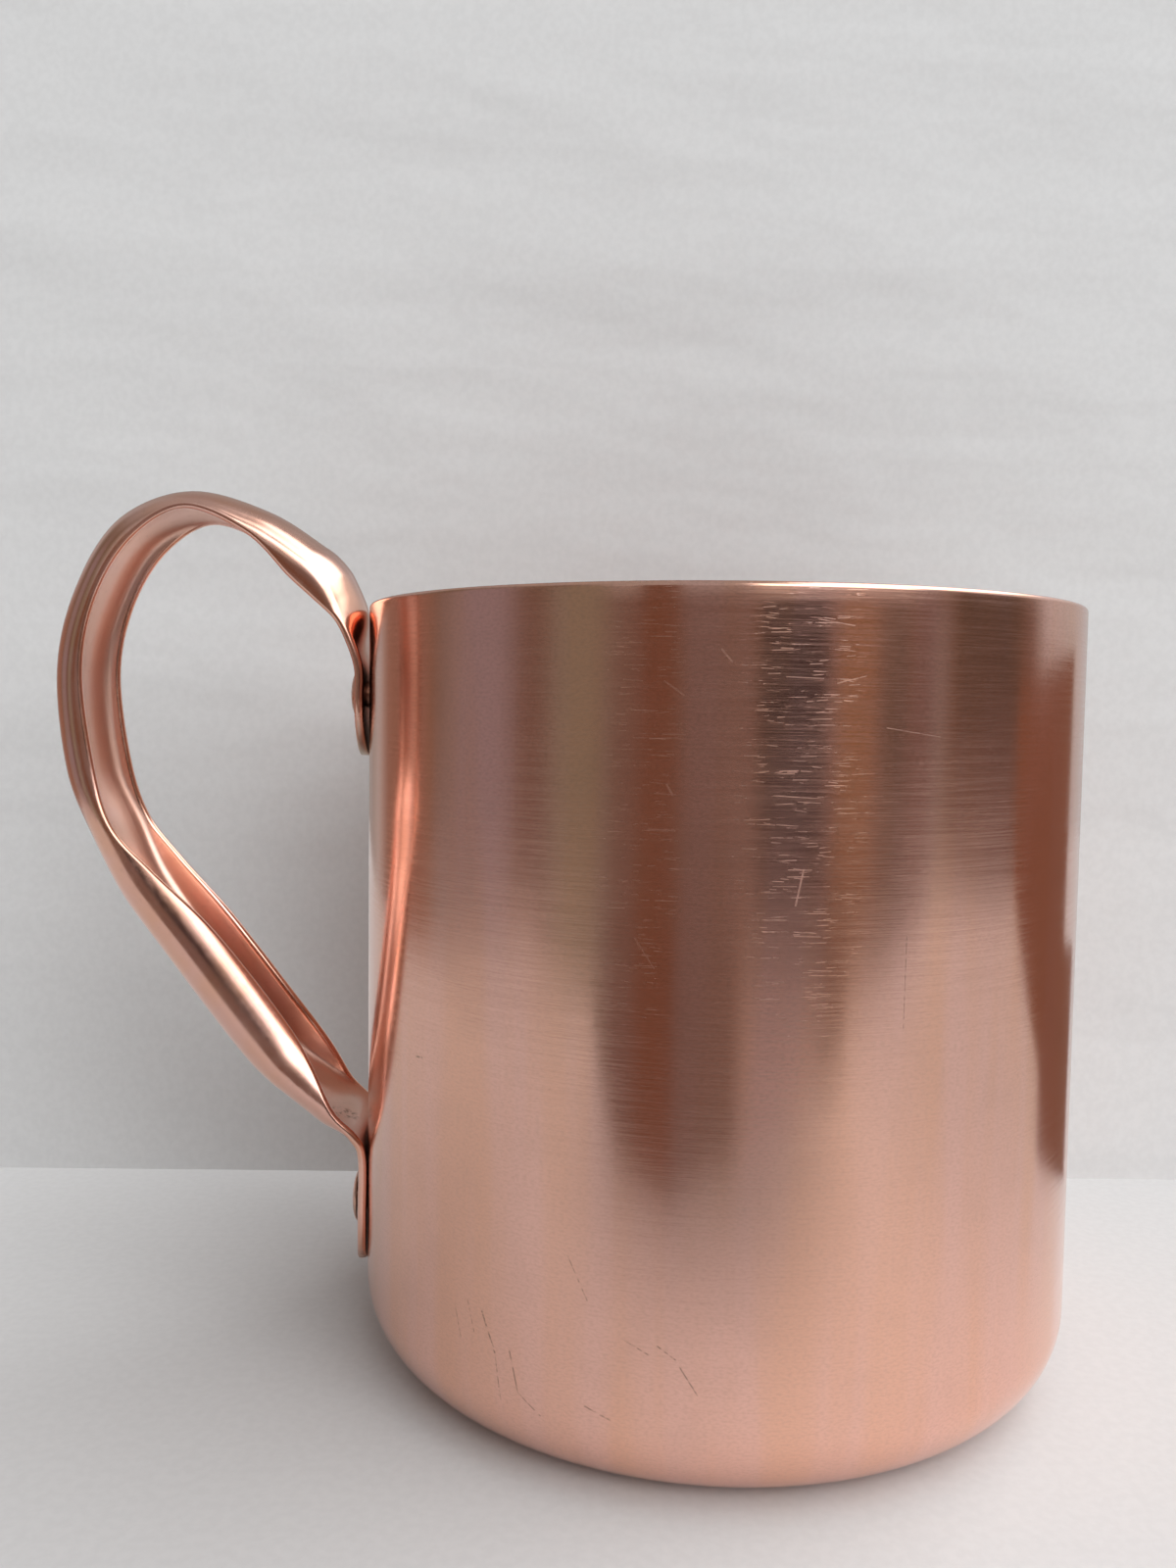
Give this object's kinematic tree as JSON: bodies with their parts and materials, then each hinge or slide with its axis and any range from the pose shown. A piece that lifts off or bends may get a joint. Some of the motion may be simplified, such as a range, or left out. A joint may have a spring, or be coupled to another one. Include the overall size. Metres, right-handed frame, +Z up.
{
  "type": "copper mug",
  "caption": "Straight-sided drawn copper mug with a rounded base corner and a riveted loop handle stamped from an arched strip.",
  "frame": {"origin": "centre of the flat underside, on the cup's axis, where the mug stands on a table", "axes": "+Z up along the cup's axis; the handle stands out along -X, in the XZ plane; +Y completes the frame"},
  "size_m": [0.1187, 0.0826, 0.0993],
  "materials": {
    "cup_copper": "solid copper, fine brushing round the wall, satin, with light scratches",
    "handle_copper": "solid copper, polished, slightly tarnished at the tab ends",
    "rivet_copper": "solid copper, hammered heads, slightly tarnished"
  },
  "bodies": {
    "root": {"cup_body": "cup_copper", "handle": "handle_copper", "upper_rivet": "rivet_copper", "lower_rivet": "rivet_copper"}
  },
  "joints": []
}
